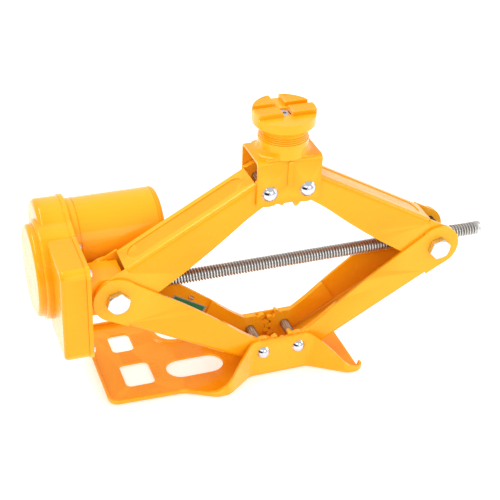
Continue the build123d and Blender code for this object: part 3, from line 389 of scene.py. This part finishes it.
FINISHES["rolled_screw_steel"] = screw_steel()
print("screw axis at z", round(SCREW_AXIS.z / MM, 1), "mm")

# %% [markdown]
# ### Blank label
# A printed foil sticker is on the inside of the lower left arm. It carries no words here: a green
# field, a pale panel and a silver border, drawn by comparing the distance along and across the arm
# with the sticker's own measures.

# %% Label finish
label_low, label_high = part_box("arm_label")
LABEL_CENTRE = (label_low + label_high) / 2
arm_line = pivot["fold_upper_left"] - pivot["fold"]
ARM_SLOPE = atan2(arm_line.z, -arm_line.x)
LABEL_LENGTH = 40.0 * MM
LABEL_WIDTH = 20.0 * MM
FIELD_SHARE = (0.46, 0.45)      # half sizes of the green field, as shares of length and width
PANEL_SHARE = (0.3, 0.16)       # and of the pale panel


def inside_band(finish, value, half):
    """1 where the value is within half of zero, else 0."""
    size = maths(finish, "ShaderNodeMath", "ABSOLUTE", value).outputs[0]
    return maths(finish, "ShaderNodeMath", "LESS_THAN", size, half).outputs[0]


def both(finish, first, second):
    """Product of two values."""
    return maths(finish, "ShaderNodeMath", "MULTIPLY", first, second).outputs[0]


def label_foil():
    """Green and silver foil with a blank panel."""
    finish, shader = new_finish("label_foil", Coat_Weight=0.4, Coat_Roughness=0.1)
    where = add_node(finish, "ShaderNodeTexCoord").outputs["Object"]
    turn = finish.node_tree.nodes.new("ShaderNodeVectorRotate")
    turn.rotation_type = "Y_AXIS"
    turn.inputs["Center"].default_value = LABEL_CENTRE
    turn.inputs["Angle"].default_value = -ARM_SLOPE
    finish.node_tree.links.new(where, turn.inputs["Vector"])
    centred = maths(finish, "ShaderNodeVectorMath", "SUBTRACT", turn.outputs["Vector"], LABEL_CENTRE)
    axes = add_node(finish, "ShaderNodeSeparateXYZ")
    finish.node_tree.links.new(centred.outputs["Vector"], axes.inputs["Vector"])
    along, sideways = axes.outputs["X"], axes.outputs["Z"]
    field, panel = (both(finish, inside_band(finish, along, share[0] * LABEL_LENGTH),
                         inside_band(finish, sideways, share[1] * LABEL_WIDTH))
                    for share in (FIELD_SHARE, PANEL_SHARE))
    colour = blend_colours(finish, field, (0.42, 0.45, 0.46), (0.005, 0.26, 0.12))
    colour = blend_colours(finish, panel, colour, (0.5, 0.62, 0.6))
    gloss = spread(finish, noise(finish, where, 400.0), 0.25, 0.4)
    feed(finish, shader, Base_Color=colour, Roughness=gloss)
    relief(finish, shader, noise(finish, where, 300.0), 0.02 * MM, 0.5)
    return finish


FINISHES["label_foil"] = label_foil()
print("label", round(LABEL_LENGTH / MM), "by", round(LABEL_WIDTH / MM), "mm")

# %% [markdown]
# ### Polished rivet heads
# A rivet's heads are polished and plated, but its shank between the arms is bare steel that soon
# turns grey-brown. One finish serves both: the distance from the middle of the rivet, along its
# length, tells shank from head.

# %% Rivet finish
SHANK_HALF = 18.0 * MM


def rivet_chrome():
    """Polished heads on a shank of bare grey-brown steel, told apart by the distance from the middle."""
    finish, shader = new_finish("bright_chrome", Metallic=1.0)
    where = add_node(finish, "ShaderNodeTexCoord").outputs["Object"]
    axes = add_node(finish, "ShaderNodeSeparateXYZ")
    finish.node_tree.links.new(where, axes.inputs["Vector"])
    shank = inside_band(finish, axes.outputs["Y"], SHANK_HALF)
    stain = spread(finish, noise(finish, where, 240.0), 0.0, 1.0)
    polished = blend_colours(finish, stain, (0.56, 0.59, 0.66), (0.68, 0.71, 0.76))
    bare = blend_colours(finish, stain, (0.3, 0.25, 0.2), (0.42, 0.37, 0.31))
    feed(finish, shader, Base_Color=blend_colours(finish, shank, polished, bare),
         Roughness=spread(finish, shank, 0.1, 0.38, 0.0, 1.0))
    relief(finish, shader, noise(finish, where, 500.0), 0.004 * MM, 0.5)
    return finish


FINISHES["bright_chrome"] = rivet_chrome()
print("bare shank", round(2 * SHANK_HALF / MM), "mm long")

# %% [markdown]
# ### A finish on every CAD piece
# All CAD pieces start with the finish of their own slot. Those that are made again below are then
# hidden, and the pieces inside the motor and gearbox keep these finishes.

# %% Dress the CAD pieces
for node, piece in cad.items():
    piece.data.materials.clear()
    piece.data.materials.append(FINISHES[slot_of[node]])
print(len(cad), "CAD pieces dressed")

# %% [markdown]
# ### Paper and felt
# The floor is white paper. It is lit from below a little, which keeps it white beside the paint.
# The card is dark felt, which gives off no light of its own in a mirror.

# %% Dress the studio
PAPER_GLOW = 0.35
floor_finish, floor_shader = new_finish("studio_paper", Roughness=0.7, Emission_Color=(1, 1, 1, 1),
                                        Emission_Strength=PAPER_GLOW)
speck = spread(floor_finish, noise(floor_finish, own_coordinates(floor_finish), 30.0), 0.0, 1.0)
feed(floor_finish, floor_shader,
     Base_Color=blend_colours(floor_finish, speck, (0.93, 0.93, 0.93), (0.95, 0.95, 0.95)))
floor.data.materials.append(floor_finish)
card_finish, card_shader = new_finish("dark_felt", Roughness=0.9, Specular_IOR_Level=0.1)
pile = spread(card_finish, noise(card_finish, own_coordinates(card_finish), 90.0), 0.0, 1.0)
feed(card_finish, card_shader,
     Base_Color=blend_colours(card_finish, pile, (0.012, 0.012, 0.02), (0.02, 0.02, 0.03)))
card.data.materials.append(card_finish)
print("dressed", floor.name, "and", card.name)

# %% [markdown]
# ## Sheet edges
# Blanked sheet never has a knife edge: the die rolls one side over, the tumbler rounds the other,
# and paint pulls back into a small radius. A bevel makes that line of light.
# The CAD mesh is copied, its split corners are welded, and its long sharp edges are bevelled. The
# rims of holes and teeth are short steps, which stay crisp, and the bends are in the CAD. A corner
# that a bevel pushes past the CAD piece's box is moved back onto it.

# %% Placing and trimming


def add_piece(name, mesh, body, slot):
    """Object from a mesh that rides on a body and wears a slot's finish."""
    mesh.materials.clear()
    mesh.materials.append(FINISHES[slot])
    piece = bpy.data.objects.new(name, mesh)
    bpy.context.collection.objects.link(piece)
    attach(piece, body)
    return piece


def settle(piece):
    """Store what a piece's modifiers make as its own mesh."""
    graph = bpy.context.evaluated_depsgraph_get()
    made = bpy.data.meshes.new_from_object(piece.evaluated_get(graph))
    piece.modifiers.clear()
    piece.data = made


def keep_inside(piece, node):
    """Move any corner that a bevel pushed out back into the CAD piece's own box."""
    low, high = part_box(node)
    to_frame = piece.matrix_world
    back = to_frame.inverted()
    for corner in piece.data.vertices:
        place = to_frame @ corner.co
        inside = Vector(max(low[i], min(high[i], place[i])) for i in range(3))
        corner.co = back @ inside


print("helpers to place, settle and trim a piece")

# %% Rolled edges
WELD = 0.002 * MM
SHARP = radians(38)
SHORTEST_ROLLED = 3.0 * MM
ROLL_SEGMENTS = 2
FLAT_FACES_FIRST = 100          # weight of large faces over small ones in the shading


def welded_shape(node):
    """Editable copy of a CAD node with its split corners joined."""
    shape = bmesh.new()
    shape.from_mesh(cad[node].data)
    bmesh.ops.remove_doubles(shape, verts=shape.verts, dist=WELD)
    return shape


def smooth_mesh(shape, name):
    """Smooth-shaded mesh from an editable shape."""
    mesh = mesh_of(shape, name)
    mesh.shade_smooth()
    return mesh


def mark_edges(shape):
    """Give the long sharp edges a bevel weight, and mark the short ones to stay crisp."""
    weight = shape.edges.layers.float.new("bevel_weight_edge")
    for edge in shape.edges:
        if edge.is_manifold and edge.calc_face_angle() > SHARP:
            long_enough = edge.calc_length() > SHORTEST_ROLLED
            edge[weight] = 1.0 if long_enough else 0.0
            edge.smooth = long_enough


def roll_edges(piece, width):
    """Bevel the weighted edges and keep the flat faces flat."""
    bevel = piece.modifiers.new("rolled_edges", "BEVEL")
    bevel.width = width
    bevel.segments = ROLL_SEGMENTS
    bevel.limit_method = "WEIGHT"
    even = piece.modifiers.new("even_shading", "WEIGHTED_NORMAL")
    even.keep_sharp = True
    even.weight = FLAT_FACES_FIRST


def finished_copy(node, shape, width):
    """Rounded piece made from a shape, which stands for a CAD node."""
    mark_edges(shape)
    piece = add_piece(node + "_finished", smooth_mesh(shape, node), cad[node]["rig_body"], slot_of[node])
    roll_edges(piece, width)
    settle(piece)
    keep_inside(piece, node)
    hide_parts(node)
    return piece


print("edges over", round(SHORTEST_ROLLED / MM, 1), "mm are rolled")

# %% Rounded copies
EDGE_ROLL = {
    "base_plate": 0.6, "lower_arm_left": 0.5, "lower_arm_right": 0.5, "upper_arm_left": 0.5,
    "upper_arm_right": 0.5, "top_bracket": 0.5, "trunnion_frame": 0.5, "gearbox_plate": 0.6,
    "gearbox_cover": 0.4, "motor_cover": 0.3, "motor_cover_cap": 0.4,
    "trunnion_block_left": 0.4, "trunnion_nut_right": 0.4,
    "side_bolt_left_front": 0.35, "side_bolt_left_back": 0.35,
    "side_bolt_right_front": 0.35, "side_bolt_right_back": 0.35,
}
for node, width in EDGE_ROLL.items():
    finished_copy(node, welded_shape(node), width * MM)
print(len(EDGE_ROLL), "pieces with rolled edges")

# %% [markdown]
# ## Saddle
# The saddle bites into a car's sill, so the tops of its four lugs are pressed with small pyramids.
# They could be set as separate cones, but then they would not be one skin with the lug. So the flat
# tops are sliced both ways along the diagonals. Where the slices cross, the metal sinks a little,
# and the middle of each cell stays at full height.

# %% Gripping lugs
GRIP_PITCH = 3.8 * MM
GRIP_DEPTH = 0.9 * MM
FLAT = radians(0.4)
LEVEL = 0.99
TOP_BAND = 0.1 * MM
SADDLE_ROLL = 0.4 * MM
pad_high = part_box("saddle_pad")[1]


def top_faces(shape):
    """Level faces at the very top."""
    return [face for face in shape.faces
            if face.normal.z > LEVEL and face.calc_center_median().z > pad_high.z - TOP_BAND]


def slice_tops(shape, direction):
    """Cut the top faces by a row of upright planes."""
    reach = int(pad_high.x / GRIP_PITCH) + 1
    for index in range(-reach, reach + 1):
        tops = top_faces(shape)
        edges = {edge for face in tops for edge in face.edges}
        bmesh.ops.bisect_plane(shape, geom=[*tops, *edges], plane_co=direction * GRIP_PITCH * index,
                               plane_no=direction)


def press_grips(shape):
    """Sink the crossings of the slices and keep the middle of every cell up."""
    tops = top_faces(shape)
    inner = {corner for face in tops for corner in face.verts
             if all(other in tops for other in corner.link_faces)}
    bmesh.ops.poke(shape, faces=[face for face in tops if any(corner in inner for corner in face.verts)])
    for corner in inner:
        corner.co.z -= GRIP_DEPTH


pad = welded_shape("saddle_pad")
bmesh.ops.dissolve_limit(pad, angle_limit=FLAT, verts=pad.verts, edges=pad.edges)
for direction in (Vector((1, 1, 0)).normalized(), Vector((1, -1, 0)).normalized()):
    slice_tops(pad, direction)
press_grips(pad)
saddle = finished_copy("saddle_pad", pad, SADDLE_ROLL)
print("saddle has", len(saddle.data.polygons), "faces")

# %% [markdown]
# ## Lead screw
# The CAD screw has rings, which is enough for fit and mass. A real thread winds. Its section, one
# pitch long, is swept along a helix: each step turns it a little and moves it on a little, and its
# last point meets its first point one turn later. The depth fades in and out, as a rolled thread
# runs out, so that the sweep closes onto plain rings and the screw is one closed skin.

# %% Helical thread
PITCH = 3.0 * MM
STEPS = 28
SECTION = ((0.0, 1.0), (0.1, 0.25), (0.2, 0.0), (0.45, 0.0), (0.58, 0.25), (0.7, 1.0))
THREAD_START = -152.0 * MM
SHANK_END = -201.0 * MM
SEAT_RADIUS = 5.0 * MM
LEAD_IN = 1.2 * MM
FIRST_STEP = 0.15 * PITCH        # room between the plain ring and the thread
RUN_OUT = 1.2                    # turns left plain at the tip
THREAD_CREASE = radians(50)
screw_low, screw_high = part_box("lead_screw")
THREAD_END = screw_high.x - LEAD_IN


def ring(shape, x, radius):
    """Ring of vertices about the screw's axis."""
    turns = [tau * step / STEPS for step in range(STEPS)]
    return [shape.verts.new((x, radius * cos(a), SCREW_AXIS.z + radius * sin(a))) for a in turns]


def bridge(shape, first, second):
    """Band of faces between two rings."""
    for step in range(STEPS):
        following = (step + 1) % STEPS
        shape.faces.new((first[step], second[step], second[following], first[following]))


def helix_points(shape, last_step):
    """Vertices of the swept section, by step along the helix and place in the section."""
    points = {}
    for step in range(last_step + STEPS + 1):
        angle = tau * step / STEPS
        for place, (share, height) in enumerate(SECTION):
            if step > last_step and place > 0:
                continue
            x = THREAD_START + FIRST_STEP + PITCH * (step / STEPS + share)
            fade = min(1.0, step / STEPS, max(0.0, (last_step - step) / STEPS))
            radius = CREST_RADIUS - (CREST_RADIUS - ROOT_RADIUS) * (1.0 - height) * fade
            where = (x, radius * cos(angle), SCREW_AXIS.z + radius * sin(angle))
            points[step, place] = shape.verts.new(where)
    for step in range(last_step + 1):
        points[step, len(SECTION)] = points[step + STEPS, 0]
    return points


def make_thread():
    """Closed skin of the lead screw: gear seat, shank, thread and chamfered tip."""
    shape = bmesh.new()
    turns = int((THREAD_END - THREAD_START) / PITCH - RUN_OUT)
    last = turns * STEPS
    points = helix_points(shape, last)
    width = len(SECTION)
    for step in range(last):
        for place in range(width):
            shape.faces.new((points[step, place], points[step, place + 1],
                             points[step + 1, place + 1], points[step + 1, place]))
    rings = [ring(shape, screw_low.x, SEAT_RADIUS), ring(shape, SHANK_END, SEAT_RADIUS),
             ring(shape, SHANK_END, CREST_RADIUS), ring(shape, THREAD_START, CREST_RADIUS)]
    shape.faces.new(rings[0])
    for first, second in zip(rings, rings[1:]):
        bridge(shape, first, second)
    start = rings[-1]
    for step in range(STEPS - 1):
        shape.faces.new((start[step], points[step, 0], points[step + 1, 0], start[step + 1]))
    seam = [points[0, place] for place in range(width + 1)]
    shape.faces.new([start[-1], points[STEPS - 1, 0], *seam[::-1], start[0]])

    end = ring(shape, THREAD_END, CREST_RADIUS)
    tip = ring(shape, screw_high.x, CREST_RADIUS - LEAD_IN)
    for step in range(1, STEPS):
        at = last - STEPS + step
        following = end[(step + 1) % STEPS]
        shape.faces.new((points[at, width], end[step], following, points[at + 1, width]))
    seam = [points[last, place] for place in range(width + 1)]
    shape.faces.new([end[0], end[1], points[last - STEPS + 1, width], *seam])
    bridge(shape, end, tip)
    shape.faces.new(tip)
    bmesh.ops.recalc_face_normals(shape, faces=shape.faces)
    mesh = smooth_mesh(shape, "lead_screw_threaded")
    mesh.set_sharp_from_angle(angle=THREAD_CREASE)
    return mesh


screw = add_piece("lead_screw_threaded", make_thread(), "screw", slot_of["lead_screw"])
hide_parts("lead_screw")
print("thread of", len(screw.data.polygons), "faces")

# %% [markdown]
# ## Rivets
# The rivets are set hot through both sheets and leave a smooth domed head on each side. Between
# the arms the shank shows, and it carries lengthways ribs that hold it from turning. Each is
# turned from one outline, and the ribs come from a ripple in the radius round the axis.

# %% Ribbed rivets
RIBS = 16
STEPS_PER_RIB = 6
AROUND = RIBS * STEPS_PER_RIB
RIB_DEPTH = 0.6 * MM
RIB_END = 15.5 * MM
RIB_FADE = 0.6 * MM
RIM_SHARE = 0.97
RIM_RISE = 0.05
DOME_STEPS = 9
RIVET_CREASE = radians(55)


def rivet_outline(seat, rise, head, shank):
    """Half outline of a rivet from its middle to its tip: distance along the axis and radius."""
    outline = [(0.0, shank), (RIB_END - RIB_FADE, shank), (RIB_END, shank), (seat, shank),
               (seat, RIM_SHARE * head), (seat + RIM_RISE * rise, head)]
    ball = (head ** 2 + rise ** 2) / (2 * rise)
    edge_angle = asin(head / ball)
    for step in range(1, DOME_STEPS):
        angle = edge_angle * (1 - step / DOME_STEPS)
        outline.append((seat + rise - ball * (1 - cos(angle)), ball * sin(angle)))
    return outline


def turned_rivet(name, node, rise, shank):
    """Rivet with two domed heads and a ribbed middle, in a CAD rivet's place."""
    low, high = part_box(node)
    middle = (low + high) / 2
    outline = rivet_outline(high.y - rise, rise, (high.x - low.x) / 2, shank)
    whole = [(-along, radius) for along, radius in outline[:0:-1]] + outline
    shape = bmesh.new()
    rings = []
    for along, radius in whole:
        ribbed = abs(along) < RIB_END - RIB_FADE / 2
        band = []
        for step in range(AROUND):
            angle = tau * step / AROUND
            dip = RIB_DEPTH * (0.5 - 0.5 * cos(RIBS * angle)) if ribbed else 0.0
            reach = radius - dip
            where = (middle.x + reach * cos(angle), along, middle.z + reach * sin(angle))
            band.append(shape.verts.new(where))
        rings.append(band)
    for first, second in zip(rings, rings[1:]):
        for step in range(AROUND):
            following = (step + 1) % AROUND
            shape.faces.new((first[step], first[following], second[following], second[step]))
    for band, y in ((rings[0], low.y), (rings[-1], high.y)):
        pole = shape.verts.new((middle.x, y, middle.z))
        for step in range(AROUND):
            shape.faces.new((band[step], band[(step + 1) % AROUND], pole))
    bmesh.ops.recalc_face_normals(shape, faces=shape.faces)
    mesh = smooth_mesh(shape, name)
    mesh.set_sharp_from_angle(angle=RIVET_CREASE)
    piece = add_piece(name, mesh, cad[node]["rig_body"], slot_of[node])
    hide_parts(node)


for level, rise, shank in (("lower", 4.6, 5.0), ("upper", 5.4, 5.5)):
    for side in ("left", "right"):
        turned_rivet(f"{level}_rivet_{side}_set", f"{level}_rivet_{side}", rise * MM, shank * MM)
print("4 rivets set")
